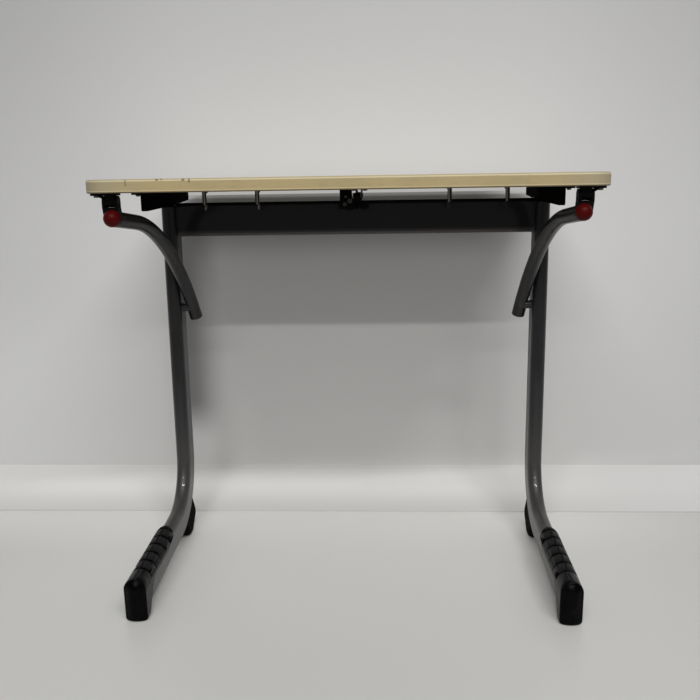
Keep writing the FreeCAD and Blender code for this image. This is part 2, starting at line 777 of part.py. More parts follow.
def hinge_saddle(name, side):
    """A post on the arm, hollowed to sit on the tube, with two ears for the pin and a slot between."""
    blank = new_body("saddle_blank_%s" % name)
    seat = "(%s - %s - (hinge_setback - arm_setback) * tan(arm_slope * 1deg))" % (ARM_Z, HINGE_Z)
    sketch = new_sketch(blank, "YZ_Plane")
    arch(sketch, KNUCKLE, "0", seat)
    pad(blank, sketch, "saddle_width + 4 * saddle_shift", both_ways=True)
    half, shift = "(saddle_width / 2)", "(%d * saddle_shift)" % -side
    for end in (-1, 1):
        sketch = new_sketch(blank, "XZ_Plane")
        beyond = "%d * (saddle_width + 4 * saddle_shift)" % end
        outline(sketch, [
            ("%d * %s" % (end, half), KNUCKLE + " + 1"),
            ("%d * %s" % (end, half), "-" + KNUCKLE),
            ("%d * %s + %s" % (end, half, shift), "%s - 1" % seat),
            (beyond, "%s - 1" % seat),
            (beyond, KNUCKLE + " + 1"),
        ])
        pocket(blank, sketch, both_ways=True)
    sketch = new_sketch(blank, "XZ_Plane")
    slot_half = "(tongue_width / 2 + side_clearance)"
    rectangle(sketch, "-" + slot_half, slot_half, "-%s - side_clearance" % KNUCKLE, KNUCKLE + " + 1")
    pocket(blank, sketch, both_ways=True)
    sketch = new_sketch(blank, "YZ_Plane")
    circle(sketch, "0", "0", "pin_diameter / 2 + pin_fit / 2")
    pocket(blank, sketch, both_ways=True)
    place(blank, "%d * %s" % (side, LEG_X), HINGE_Y, HINGE_Z)
    bore = cylinder("saddle_bore_%s" % name, "arm_diameter / 2", "8 * %s" % KNUCKLE)
    place_on_arm(bore, side, roll="-90")
    keep(cut("hinge_saddle_%s" % name, blank, bore))


def hinge_leaf(name, side):
    """A plate under the board, reaching outwards, with a tongue that turns on the pin and a gusset
    that runs out from it between the screws."""
    body = new_body("hinge_leaf_%s" % name)
    under = "(hinge_drop - leaf_thickness)"
    sketch = new_sketch(body, "XY_Plane", under)
    inner, outer = "%d * saddle_width / 2" % -side, "%d * leaf_reach" % side
    low, high = (inner, outer) if side > 0 else (outer, inner)
    rectangle(sketch, low, high, "-leaf_length / 2", "leaf_length / 2", "2")
    pad(body, sketch, "leaf_thickness")
    sketch = new_sketch(body, "YZ_Plane")
    arch(sketch, KNUCKLE, "0", "%s + leaf_thickness / 2" % under)
    pad(body, sketch, "tongue_width", both_ways=True)
    sketch = new_sketch(body, "XZ_Plane")
    root = "%d * (saddle_width / 2 + side_clearance)" % side
    tip = "%d * leaf_reach * 0.8" % side
    outline(sketch, [(root, under + " + 1"), (root, under + " - gusset_depth"),
                     (tip, under), (tip, under + " + 1")])
    pad(body, sketch, "gusset_thickness", both_ways=True)
    sketch = new_sketch(body, "YZ_Plane")
    circle(sketch, "0", "0", "pin_diameter / 2 + pin_fit")
    pocket(body, sketch, both_ways=True)
    place(body, "%d * %s" % (side, LEG_X), HINGE_Y, HINGE_Z)
    sketch = new_sketch(body, "XY_Plane", under)
    for end in (-1, 1):
        screw_x = "%d * (%s - %s)" % (side, HINGE_SCREW_X, LEG_X)
        circle(sketch, screw_x, "%d * %s" % (end, HINGE_SCREW_Y), SHANK_HOLE)
    pocket(body, sketch, both_ways=True)
    keep(body)


def hinge_pin(name, side):
    keep(cylinder("hinge_pin_%s" % name, "pin_diameter / 2", "saddle_width",
                  "%d * %s - saddle_width / 2" % (side, LEG_X), HINGE_Y, HINGE_Z, "90"))


for name, side in SIDES:
    hinge_saddle(name, side)
    hinge_leaf(name, side)
    hinge_pin(name, side)


# ---- rear carriers, which rest on the columns ----

def carrier_plan(body, side, wall):
    """The carrier from above: narrow at the front, where its inner side slants, then of one width.
    The outline is moved inwards by a wall."""
    sketch = new_sketch(body, "XY_Plane", UNDERSIDE)
    outer = "%d * (carrier_width / 2 - %s)" % (side, wall)
    inner = "%d * (carrier_width / 2 - %s)" % (-side, wall)
    nose = "%d * (carrier_width / 2 - carrier_nose + 1.2 * %s)" % (side, wall)
    front, back = "(%s + %s)" % (CARRIER_Y, wall), "(%s + carrier_length - %s)" % (CARRIER_Y, wall)
    outline(sketch, [(outer, front), (outer, back), (inner, back), (inner, "%s + carrier_taper" % front),
                     (nose, front)])
    return sketch


def rear_carrier(name, side):
    """A moulded wedge beam under the board, open upwards, with an ear at each end for a screw."""
    body = new_body("rear_carrier_%s" % name)
    pad(body, carrier_plan(body, side, "0"), "carrier_height", backwards=True)
    sketch = new_sketch(body, "YZ_Plane")
    front, back = "(%s - 1)" % CARRIER_Y, "(%s + carrier_length + 1)" % CARRIER_Y
    rise = "((carrier_height - carrier_tail) / carrier_length)"
    low = "(%s - carrier_height - 2)" % UNDERSIDE
    outline(sketch, [
        (front, low),
        (front, "%s - carrier_height - %s" % (UNDERSIDE, rise)),
        (back, "%s - carrier_tail + %s" % (UNDERSIDE, rise)),
        (back, low),
    ])
    pocket(body, sketch, both_ways=True)
    fillet(body, "carrier_round", lambda edge: edge.BoundBox.YLength < 0.01 and edge.BoundBox.ZLength < 0.01
           and edge.BoundBox.ZMax < value(UNDERSIDE) - 1)
    pocket(body, carrier_plan(body, side, "carrier_wall"), "carrier_tail - carrier_wall")
    sketch = new_sketch(body, "XY_Plane", UNDERSIDE)
    inner = "%d * (carrier_width / 2 - carrier_wall)" % side
    outer = "%d * (carrier_width / 2 + ear_reach)" % side
    low, high = (inner, outer) if side > 0 else (outer, inner)
    for y in EAR_Y:
        rectangle(sketch, low, high, "%s - ear_length / 2" % y, "%s + ear_length / 2" % y, "2")
    pad(body, sketch, "ear_thickness", backwards=True)
    sketch = new_sketch(body, "XY_Plane", UNDERSIDE)
    for y in EAR_Y:
        circle(sketch, "%d * (%s - %s)" % (side, EAR_SCREW_X, LEG_X), y, SHANK_HOLE)
    pocket(body, sketch, "ear_thickness + 1")
    sketch = new_sketch(body, "XY_Plane", BUFFER_BOTTOM)
    circle(sketch, "0", COLUMN_Y, "buffer_radius")
    pocket(body, sketch, "buffer_seat", backwards=True)
    place(body, "%d * %s" % (side, LEG_X))
    keep(body)


def carrier_buffer(name, side):
    """The rubber disc in the carrier's underside, which lands on the column's plug."""
    keep(cylinder("carrier_buffer_%s" % name, "buffer_radius", "buffer_seat",
                  "%d * %s" % (side, LEG_X), COLUMN_Y, BUFFER_BOTTOM))


for name, side in SIDES:
    rear_carrier(name, side)
    carrier_buffer(name, side)


# ---- tilt stay: a bar pinned to the beam's bracket, whose far pin runs in a notched rail ----

def stay_bracket():
    """A plate on the beam's front face, with two ears that rise past the beam to the stay's pin."""
    body = new_body("stay_bracket")
    half = "(plate_width / 2)"
    low = "(%s - plate_height)" % PLATE_TOP
    sketch = new_sketch(body, "XZ_Plane", "-%s" % BEAM_FRONT)
    rectangle(sketch, "-" + half, half, low, PLATE_TOP, "2")
    pad(body, sketch, "plate_thickness")
    gap = "(stay_width / 2 + side_clearance)"
    for offset in ("stay_offset + %s" % gap, "stay_offset - %s - ear_plate" % gap):
        sketch = new_sketch(body, "YZ_Plane", offset)
        outline(sketch, [
            ("%s - stay_depth / 2" % STAY_Y, low),
            ("%s + plate_thickness / 2" % PLATE_Y, low),
            ("%s + plate_thickness / 2" % PLATE_Y, "%s + stay_depth / 2" % STAY_Z),
            ("%s - stay_depth / 2" % STAY_Y, "%s + stay_depth / 2" % STAY_Z),
        ], {0: "4", 2: "2.5", 3: "5"})
        pad(body, sketch, "ear_plate")
    sketch = new_sketch(body, "YZ_Plane")
    circle(sketch, STAY_Y, STAY_Z, "pin_diameter / 2 + pin_fit / 2")
    pocket(body, sketch, both_ways=True)
    stud_x, stud_z = stud_place()
    sketch = new_sketch(body, "XZ_Plane")
    circle(sketch, stud_x, stud_z, "stud_radius")
    pocket(body, sketch, both_ways=True)
    keep(body)


def stud_place():
    """The striker stud, on an orbit about the lever's pivot."""
    x = "(%s - stud_orbit * sin(stud_angle * 1deg))" % LEVER_X
    z = "(%s - stud_orbit * cos(stud_angle * 1deg))" % LEVER_Z
    return x, z


def stay_pins():
    half = "(stay_width / 2 + side_clearance + ear_plate)"
    keep(cylinder("stay_pivot_pin", "pin_diameter / 2", "2 * %s" % half,
                  "stay_offset - %s" % half, STAY_Y, STAY_Z, "90"))
    half = "(%s + rail_wall + 1)" % RAIL_INNER
    keep(cylinder("stay_slide_pin", "pin_diameter / 2", "2 * %s" % half,
                  "stay_offset - %s" % half, "%s + stay_length" % STAY_Y, STAY_Z, "90"))


def tilt_stay():
    """The flat stay bar, with an eye at each end."""
    body = new_body("tilt_stay")
    sketch = new_sketch(body, "YZ_Plane")
    far = "(%s + stay_length)" % STAY_Y
    slot(sketch, (STAY_Y, STAY_Z), (far, STAY_Z), "stay_depth / 2")
    circle(sketch, STAY_Y, STAY_Z, "pin_diameter / 2 + pin_fit")
    circle(sketch, far, STAY_Z, "pin_diameter / 2 + 0.01")
    pad(body, sketch, "stay_width", both_ways=True)
    place(body, "stay_offset")
    keep(body)


def stay_rail():
    """A hat channel screwed under the board; the stay's far pin runs in its slots and drops into notches."""
    body = new_body("stay_rail")
    outer = "(%s + rail_wall)" % RAIL_INNER
    edge = "(%s + rail_flange)" % outer
    sketch = new_sketch(body, "XZ_Plane", "-%s" % RAIL_Y)
    low = "(%s - rail_height)" % UNDERSIDE
    web = "(%s - rail_wall)" % UNDERSIDE
    outline(sketch, [
        ("-" + outer, low), ("-" + RAIL_INNER, low), ("-" + RAIL_INNER, web), (RAIL_INNER, web),
        (RAIL_INNER, low), (outer, low), (outer, web), (edge, web),
        (edge, UNDERSIDE), ("-" + edge, UNDERSIDE), ("-" + edge, web), ("-" + outer, web),
    ])
    pad(body, sketch, "rail_length", backwards=True)
    sketch = new_sketch(body, "YZ_Plane")
    radius = "(pin_diameter / 2 + slot_clearance)"
    first_pin = "(%s + slot_start)" % RAIL_Y
    slot(sketch, (first_pin, STAY_Z), ("%s + stay_length" % STAY_Y, STAY_Z), radius)
    pocket(body, sketch, both_ways=True)
    sketch = new_sketch(body, "YZ_Plane")
    notch_z = "%s + %s + notch_depth - notch_radius" % (STAY_Z, radius)
    circle(sketch, "%s + notch_pitch / 2" % first_pin, notch_z, "notch_radius")
    notch = pocket(body, sketch, both_ways=True)
    pattern = body.newObject("PartDesign::LinearPattern", "rail_notches")
    pattern.Originals = [notch]
    pattern.Direction = (sketch, ["H_Axis"])
    pattern.setExpression("Length", bound("notch_pitch * (notch_count - 1)"))
    pattern.setExpression("Occurrences", bound("notch_count"))
    body.Tip = pattern
    doc.recompute()
    sketch = new_sketch(body, "XY_Plane", UNDERSIDE)
    for x, y in RAIL_SCREWS:
        circle(sketch, x, y, SHANK_HOLE)
    pocket(body, sketch, "rail_wall + 1")
    place(body, "stay_offset")
    keep(body)


stay_bracket()
stay_pins()
tilt_stay()
stay_rail()


# ---- latch: a lever on a housing under the board, whose finger swings under a stud on the beam ----

def latch_housing():
    body = new_body("latch_housing")
    sketch = new_sketch(body, "XZ_Plane", "-%s" % HOUSING_Y)
    low = "(%s - housing_height)" % UNDERSIDE
    rectangle(sketch, "-latch_centre - housing_width / 2", "-latch_centre + housing_width / 2",
              low, UNDERSIDE)
    pad(body, sketch, "housing_depth", backwards=True)
    fillet(body, "housing_round", lambda edge: edge.BoundBox.ZMax < value(low) + 0.01
           or (edge.BoundBox.ZLength > 1 and edge.BoundBox.YMax < value(HOUSING_Y) + 0.01))
    sketch = new_sketch(body, "XZ_Plane", "-%s" % HOUSING_Y)
    circle(sketch, LEVER_X, LEVER_Z, "lever_pin_radius")
    circle(sketch, "-latch_centre", "%s + 7" % LEVER_Z, "stud_radius")
    pocket(body, sketch, "housing_depth - 6")
    keep(body)


def latch_lever():
    """A flat lever: an eye on the pivot, a thumb arm to one side and a curved finger below."""
    body = new_body("latch_lever")
    sketch = new_sketch(body, "XZ_Plane")
    circle(sketch, "0", "0", "lever_eye")
    pad(body, sketch, "lever_thickness", backwards=True)
    sketch = new_sketch(body, "XZ_Plane")
    outline(sketch, [("0", "-lever_eye + 1"), ("thumb_reach", "0"),
                     ("thumb_reach", "5"), ("0", "lever_eye - 1")], {1: "2", 2: "2"})
    pad(body, sketch, "lever_thickness", backwards=True)
    sketch = new_sketch(body, "XZ_Plane")
    stop_edge = "(%s + latch_centre - stud_radius - side_clearance)" % LEVER_X
    outline(sketch, [("-" + stop_edge, "0"), ("3 - " + stop_edge, "0"),
                     ("3 - " + stop_edge, "9"), ("-" + stop_edge, "9")], {2: "1.4"})
    pad(body, sketch, "lever_thickness", backwards=True)
    sketch = new_sketch(body, "XZ_Plane")
    outline(sketch, [("2", "-2"), ("finger_outer * 0.5", "-finger_outer * 0.8"),
                     ("0", "-finger_outer"), ("-finger_outer * 0.32", "-finger_outer * 0.94"),
                     ("-finger_inner * 0.32", "-finger_inner * 0.94"), ("0.5", "-finger_inner")],
            {1: "2"})
    pad(body, sketch, "lever_thickness", backwards=True)
    sketch = new_sketch(body, "XZ_Plane")
    circle(sketch, "0", "0", "lever_pin_radius + pin_fit")
    pocket(body, sketch, both_ways=True)
    place(body, LEVER_X, LEVER_Y, LEVER_Z)
    keep(body)


def latch_pins():
    """The headed pivot of the lever, the stop pin beside it and the stud that the finger catches."""
    shank = cylinder("lever_pivot_shank", "lever_pin_radius", "housing_depth / 2",
                     LEVER_X, LEVER_Y, LEVER_Z, roll="-90")
    head = cylinder("lever_pivot_head", "lever_pin_radius + 1.5", "1.5",
                    LEVER_X, "%s - side_clearance - 1.5" % LEVER_Y, LEVER_Z, roll="-90")
    neck = cylinder("lever_pivot_neck", "lever_pin_radius", "side_clearance",
                    LEVER_X, "%s - side_clearance" % LEVER_Y, LEVER_Z, roll="-90")
    keep(fuse("lever_pivot", fuse("lever_pivot_top", head, neck), shank))
    keep(cylinder("lever_stop", "stud_radius", "8", "-latch_centre", "%s - 3" % HOUSING_Y,
                  "%s + 7" % LEVER_Z, roll="-90"))
    stud_x, stud_z = stud_place()
    reach = "%s + plate_thickness - %s + side_clearance" % (PLATE_Y, LEVER_Y)
    stud = cylinder("stud_shank", "stud_radius", reach,
                    stud_x, "%s - side_clearance" % LEVER_Y, stud_z, roll="-90")
    rim = cylinder("stud_head", "stud_radius + 1.2", "1.5",
                   stud_x, "%s - side_clearance - 1.5" % LEVER_Y, stud_z, roll="-90")
    keep(fuse("striker_stud", stud, rim))


latch_housing()
latch_lever()
latch_pins()


# ---- bag hooks ----

def bag_hook(number, x, lean):
    """A bent steel strip: a plate under the board, a drop, and a prong with an upturned lip."""
    body = new_body("bag_hook_%d" % number)
    half = "(hook_width / 2)"
    sketch = new_sketch(body, "XY_Plane", UNDERSIDE)
    rectangle(sketch, "-" + half, half, HOOK_Y, "%s + hook_plate" % HOOK_Y)
    pad(body, sketch, "hook_sheet", backwards=True)
    sketch = new_sketch(body, "XZ_Plane", "-%s" % HOOK_Y)
    neck = "(%s - hook_drop)" % UNDERSIDE
    foot = "(%s - prong_length)" % neck
    shift = "%d * prong_lean" % lean
    outline(sketch, [
        ("-" + half, UNDERSIDE), (half, UNDERSIDE), (half, neck),
        ("prong_width / 2 + %s" % shift, neck + " - 3"),
        ("prong_width / 2 + %s" % shift, foot), ("-prong_width / 2 + %s" % shift, foot),
        ("-prong_width / 2 + %s" % shift, neck + " - 3"), ("-" + half, neck),
    ])
    pad(body, sketch, "hook_sheet", backwards=True)
    sketch = new_sketch(body, "XZ_Plane", "-%s" % HOOK_Y)
    rectangle(sketch, "-prong_width / 2 + %s" % shift, "prong_width / 2 + %s" % shift,
              foot, foot + " + hook_sheet")
    pad(body, sketch, "prong_lip")
    sketch = new_sketch(body, "XZ_Plane", "-%s + prong_lip" % HOOK_Y)
    rectangle(sketch, "-prong_width / 2 + %s" % shift, "prong_width / 2 + %s" % shift,
              foot, foot + " + prong_lip")
    pad(body, sketch, "hook_sheet", backwards=True)
    sketch = new_sketch(body, "XY_Plane", UNDERSIDE)
    circle(sketch, "0", "%s + hook_plate * 0.6" % HOOK_Y, SHANK_HOLE)
    pocket(body, sketch, "hook_sheet + 1")
    place(body, x)
    keep(body)


for number, x in enumerate(HOOK_X, start=1):
    bag_hook(number, x, 1 if number <= 2 else -1)
for label, (seat, points) in SCREWS.items():
    screws(label, seat, points)


# ---- check and write ----

doc.recompute()
for item in doc.Objects:
    if "Invalid" in item.State or "Error" in item.State:
        raise ValueError("%s failed: %s" % (item.Label, item.State))
for piece in parts:
    if piece.Shape.isNull() or not piece.Shape.isValid():
        raise ValueError("%s has no valid shape" % piece.Label)
os.makedirs("parts", exist_ok=True)
for piece in parts:
    piece.Shape.exportStep("parts/%s.step" % piece.Label)
print("%d parts" % len(parts))
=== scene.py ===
import math

import bpy
from mathutils import Matrix, Vector


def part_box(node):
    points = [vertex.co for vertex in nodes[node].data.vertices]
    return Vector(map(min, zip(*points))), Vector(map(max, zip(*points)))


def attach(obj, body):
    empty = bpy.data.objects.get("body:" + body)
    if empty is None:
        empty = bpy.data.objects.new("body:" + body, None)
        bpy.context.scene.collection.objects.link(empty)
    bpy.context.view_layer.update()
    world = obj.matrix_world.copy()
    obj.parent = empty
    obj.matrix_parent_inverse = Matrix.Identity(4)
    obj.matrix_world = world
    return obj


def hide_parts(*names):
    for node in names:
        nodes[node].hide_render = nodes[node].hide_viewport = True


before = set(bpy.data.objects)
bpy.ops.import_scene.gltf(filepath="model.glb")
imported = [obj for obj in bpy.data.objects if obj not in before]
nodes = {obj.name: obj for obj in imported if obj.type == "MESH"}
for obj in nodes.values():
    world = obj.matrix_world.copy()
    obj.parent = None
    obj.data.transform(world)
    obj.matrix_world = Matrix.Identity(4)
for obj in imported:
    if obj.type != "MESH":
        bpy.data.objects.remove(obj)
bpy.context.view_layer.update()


# ---- camera ----
# A normal lens just below the board's top and a little right of the middle. It looks slightly down, so the
# board shows its front edge alone and the feet show their tops.
eye = Vector((0.0542, -1.3110, 0.6280))
yaw = math.radians(-2.672)
pitch = math.radians(11.652)
roll = math.radians(-0.907)
forward = Vector((math.sin(yaw) * math.cos(pitch), math.cos(yaw) * math.cos(pitch), -math.sin(pitch)))
level = Vector((math.cos(yaw), -math.sin(yaw), 0))
upright = level.cross(forward)
rightwards = level * math.cos(roll) + upright * math.sin(roll)
upwards = upright * math.cos(roll) - level * math.sin(roll)
turn = Matrix((rightwards, upwards, -forward)).transposed()
lens = bpy.data.cameras.new("table_camera")
lens.sensor_width = 36
lens.lens = 41.14
camera = bpy.data.objects.new("table_camera", lens)
camera.matrix_world = Matrix.Translation(eye) @ turn.to_4x4()
bpy.context.scene.collection.objects.link(camera)
bpy.context.scene.camera = camera


# ---- legs and cross beam ----
# Two flat oval steel tubes, each bent into a C, and a rounded box tube welded between their columns.
# All of it is powder coated in a dark metallic grey with a clear, rather glossy top layer.

class Value:
    """A number that varies over a surface. Arithmetic on it adds Math nodes to its finish."""

    def __init__(self, finish, socket):
        self.finish = finish
        self.socket = socket

    def math(self, operation, *operands):
        return self.finish.node("ShaderNodeMath", {"operation": operation}, dict(enumerate(operands)))

    def __add__(self, other):
        return self.math("ADD", self, other)

    def __sub__(self, other):
        return self.math("SUBTRACT", self, other)

    def __rsub__(self, other):
        return self.math("SUBTRACT", other, self)

    def __mul__(self, other):
        return self.math("MULTIPLY", self, other)

    def __truediv__(self, other):
        return self.math("DIVIDE", self, other)

    def __abs__(self):
        return self.math("ABSOLUTE", self)

    __radd__ = __add__
    __rmul__ = __mul__

    def rise(self, low, high):
        """0 below low, 1 above high and a smooth slope between them. With low above high it falls."""
        settings = {"interpolation_type": "SMOOTHSTEP"}
        return self.finish.node("ShaderNodeMapRange", settings, {0: self, 1: low, 2: high})

    def near(self, middle, reach, softness):
        """1 within reach of middle, fading out over softness."""
        return abs(self - middle).rise(reach + softness, reach)


class Finish:
    """A material as it is mixed: node() adds any node to it, and shade() sets the shader's sockets."""

    def __init__(self, name):
        self.material = bpy.data.materials.new(name)
        self.material.use_nodes = True
        self.tree = self.material.node_tree
        self.place = self.node("ShaderNodeTexCoord", output="Object")
        self.x, self.y, self.z = (
            self.node("ShaderNodeSeparateXYZ", sockets={0: self.place}, output=axis) for axis in "XYZ")

    def fill(self, socket, source):
        if isinstance(source, Value):
            self.tree.links.new(source.socket, socket)
        else:
            socket.default_value = source

    def node(self, kind, settings=None, sockets=None, output=0):
        node = self.tree.nodes.new(kind)
        for name, setting in (settings or {}).items():
            setattr(node, name, setting)
        for name, source in (sockets or {}).items():
            self.fill(node.inputs[name], source)
        return Value(self, node.outputs[output])

    def stretched(self, x, y, z):
        """The place on the piece with each axis multiplied, for a pattern with a direction."""
        return self.node("ShaderNodeMapping", sockets={"Vector": self.place, "Scale": (x, y, z)})

    def noise(self, scale, detail=2, place=None):
        sockets = {"Vector": place or self.place, "Scale": scale, "Detail": detail}
        return self.node("ShaderNodeTexNoise", sockets=sockets)

    def cells(self, scale):
        """Random numbers, the same all over each small cell."""
        sockets = {"Vector": self.place, "Scale": scale}
        return self.node("ShaderNodeTexVoronoi", sockets=sockets, output="Color")

    def mix(self, share, first, second):
        settings = {"data_type": "RGBA"}
        return self.node("ShaderNodeMix", settings, {0: share, 6: first, 7: second}, 2)

    def bump(self, height, distance, strength=1):
        sockets = {"Height": height, "Distance": distance, "Strength": strength}
        return self.node("ShaderNodeBump", sockets=sockets)

    def shade(self, **sockets):
        """Fill the shader's sockets, which are named in small letters, as in coat_weight."""
        for name, source in sockets.items():
            label = name.replace("_", " ").title().replace("Ior", "IOR")
            self.fill(self.tree.nodes["Principled BSDF"].inputs[label], source)
        return self.material


def colour(red, green, blue):
    """A display colour, 0 to 255, as the linear colour that a shader takes."""
    channels = [channel / 255 for channel in (red, green, blue)]
    return [c / 12.92 if c <= 0.04045 else ((c + 0.055) / 1.055) ** 2.4 for c in channels] + [1]


def cover(material, *names):
    """Give CAD pieces a material."""
    for name in names:
        for holder in nodes[name].material_slots:
            holder.material = material


def pair(name):
    return name + "_left", name + "_right"


# Where the paint changes: each pair is where the change starts and where it is complete
# paler towards the floor
paler_low_heights = (0.3, 0.05)
dusty_heights = (0.11, 0.01)
# painted shade under the board, standing for the board's shadow on the frame
painted_shade_heights = (0.38, 0.56)
# painted shade on surfaces that face up under the board, such as the arms' tops
dark_top_heights = (0.47, 0.54)
# painted shade on the arms' front ends, next to the posts and ball caps
mouth_shade_span = (-0.226, -0.231)
# a painted sheen along the beam's lower rounding, and a dark line under it
beam_edge_sheen = (0.011, 0.006)
beam_edge_line = (0.0018, 0.0008)


def frame_paint():
    """Metallic grey, paler towards the floor. Painted shade darkens it high up under the board, on
    up-facing tops there and at the arms' front ends, and a painted sheen lightens the beam's lower edge.
    """
    paint = Finish("frame_paint")
    beam_low, beam_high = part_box("cross_beam")
    flakes = paint.cells(1900)
    cloud = paint.noise(9, 3)
    peel = paint.noise(420, 2)
    base = paint.mix(cloud, colour(38, 37, 38), colour(48, 47, 48))
    base = paint.mix(paint.z.rise(*paler_low_heights) * 0.6, base, colour(92, 90, 89))
    # Painted shade: the frame darkens high up under the board, more on the beam, and shows fewer flakes
    # there
    painted_shade = paint.z.rise(*painted_shade_heights)
    across_beam = abs(paint.x).rise(beam_high.x, beam_high.x - 0.001)
    base = paint.mix(painted_shade * (0.55 + across_beam * 0.2), base, colour(13, 9, 8))
    # Painted shade on the top of each arm's front end, and no clear coat there
    mouth_shade = paint.y.rise(*mouth_shade_span)
    base = paint.mix(mouth_shade, base, colour(4, 3, 3))
    on_beam = across_beam * paint.y.rise(beam_low.y - 0.004, beam_low.y)
    above_edge = paint.z - beam_low.z
    # Painted sheen on the beam's lower rounding, standing for the floor's reflection
    base = paint.mix(on_beam * above_edge.rise(*beam_edge_sheen) * 0.4, base, colour(92, 87, 85))
    base = paint.mix(on_beam * above_edge.rise(*beam_edge_line) * 0.7, base, colour(6, 4, 4))
    # Painted shade: surfaces facing up under the board are darkened, and their clear coat thinned
    facing = paint.node("ShaderNodeNewGeometry", output="Normal")
    skyward = paint.node("ShaderNodeSeparateXYZ", sockets={0: facing}, output="Z")
    painted_dark_top = skyward.rise(0.2, 0.8) * paint.z.rise(*dark_top_heights)
    base = paint.mix(painted_dark_top * 0.85, base, colour(4, 3, 3))
    dust = paint.z.rise(*dusty_heights) * paint.noise(38, 4).rise(0.42, 0.7)
    base = paint.mix(dust * 0.3, base, colour(150, 146, 140))
    sparkle = flakes.rise(0.8, 1) * (0.35 - painted_shade * 0.33)
    return paint.shade(
        base_color=paint.mix(sparkle, base, colour(112, 112, 116)),
        metallic=0.5,
        specular_ior_level=0.35,
        roughness=0.42 + cloud * 0.08 + dust * 0.15,
        coat_weight=(1 - mouth_shade) * (1 - painted_dark_top) * 0.35,
        coat_roughness=0.06,
        normal=paint.bump(peel, 0.00012, 0.35),
    )


paint_grey = frame_paint()
cover(paint_grey, *pair("leg"), "cross_beam")


def select_only(*pieces):
    """Nothing but these pieces is selected, and the last is the active one."""
    bpy.ops.object.select_all(action="DESELECT")
    for piece in pieces:
        piece.select_set(True)
    bpy.context.view_layer.objects.active = pieces[-1]


def finished(name, *pieces):
    """Join what was modelled into one named piece, with its place in its mesh."""
    select_only(*pieces)
    if len(pieces) > 1:
        bpy.ops.object.join()
    piece = bpy.context.active_object
    bpy.ops.object.transform_apply(location=True, rotation=True, scale=True)
    bpy.ops.object.shade_smooth_by_angle(angle=math.radians(40))
    piece.name = name
    return piece


def belongs(piece, body, material, slot, *stands_for):
    """Give a finished piece its material and the body that it rides on."""
    piece.data.materials.clear()
    piece.data.materials.append(material)
    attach(piece, body)
    if stands_for:
        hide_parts(*stands_for)


beam_bead = 0.0034
beam_corner = 0.006


def bead(thickness):
    """Turn the selected loop of edges into a round weld bead with a slightly uneven surface."""
    bpy.ops.object.convert(target="CURVE")
    line = bpy.context.active_object
    line.data.bevel_depth = thickness / 2
    line.data.bevel_resolution = 3
    bpy.ops.object.convert(target="MESH")
    bpy.ops.object.mode_set(mode="EDIT")
    bpy.ops.mesh.select_all(action="SELECT")
    bpy.ops.transform.vertex_random(offset=thickness * 0.12, seed=3)
    bpy.ops.mesh.vertices_smooth(factor=0.5)
    bpy.ops.object.mode_set(mode="OBJECT")
    return line


def beam_weld(side):
    """The bead round the beam's end, where it meets the flat side of the column."""
    low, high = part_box("cross_beam")
    middle = (low + high) / 2
    bpy.ops.mesh.primitive_plane_add(size=1, location=(side * high.x, middle.y, middle.z),
                                     rotation=(0, math.pi / 2, 0))
    plate = bpy.context.active_object
    plate.scale = (high.z - low.z, high.y - low.y, 1)
    bpy.ops.object.transform_apply(location=False, rotation=False, scale=True)
    bpy.ops.object.mode_set(mode="EDIT")
    bpy.ops.mesh.select_all(action="SELECT")
    bpy.ops.mesh.bevel(affect="VERTICES", offset=beam_corner, segments=5)
    bpy.ops.mesh.select_all(action="SELECT")
    bpy.ops.mesh.delete(type="ONLY_FACE")
    bpy.ops.mesh.select_all(action="SELECT")
    bpy.ops.mesh.subdivide(number_cuts=5)
    bpy.ops.object.mode_set(mode="OBJECT")
    return bead(beam_bead)


belongs(finished("beam_welds", *[beam_weld(side) for side in (-1, 1)]), "frame", paint_grey, "frame_paint")


# ---- column plugs, foot caps and heel glides ----
# Black mouldings pressed on the tubes: a lid in each column, a ribbed shoe with a glossy, slightly domed
# nose on each foot's front end, and a keel under each bend, which is the leg's second foot.

# The ribbed top of a shoe. A pair is a soft edge, and plate_ends counts the grooves' pitches.
first_groove = 0.036
groove_pitch = 0.0265
plate_ends = (6.5, 6.1)
plate_sides = (0.0135, 0.011)
seam_zigzag = 0.005
# The dome on a shoe's nose, and the grid that it is shaped on
grid = 0.0025
columns_each_way = 5
first_row = 2
last_row = 27
dome = 0.006
nose_setback = 0.002
nose_length = 0.012


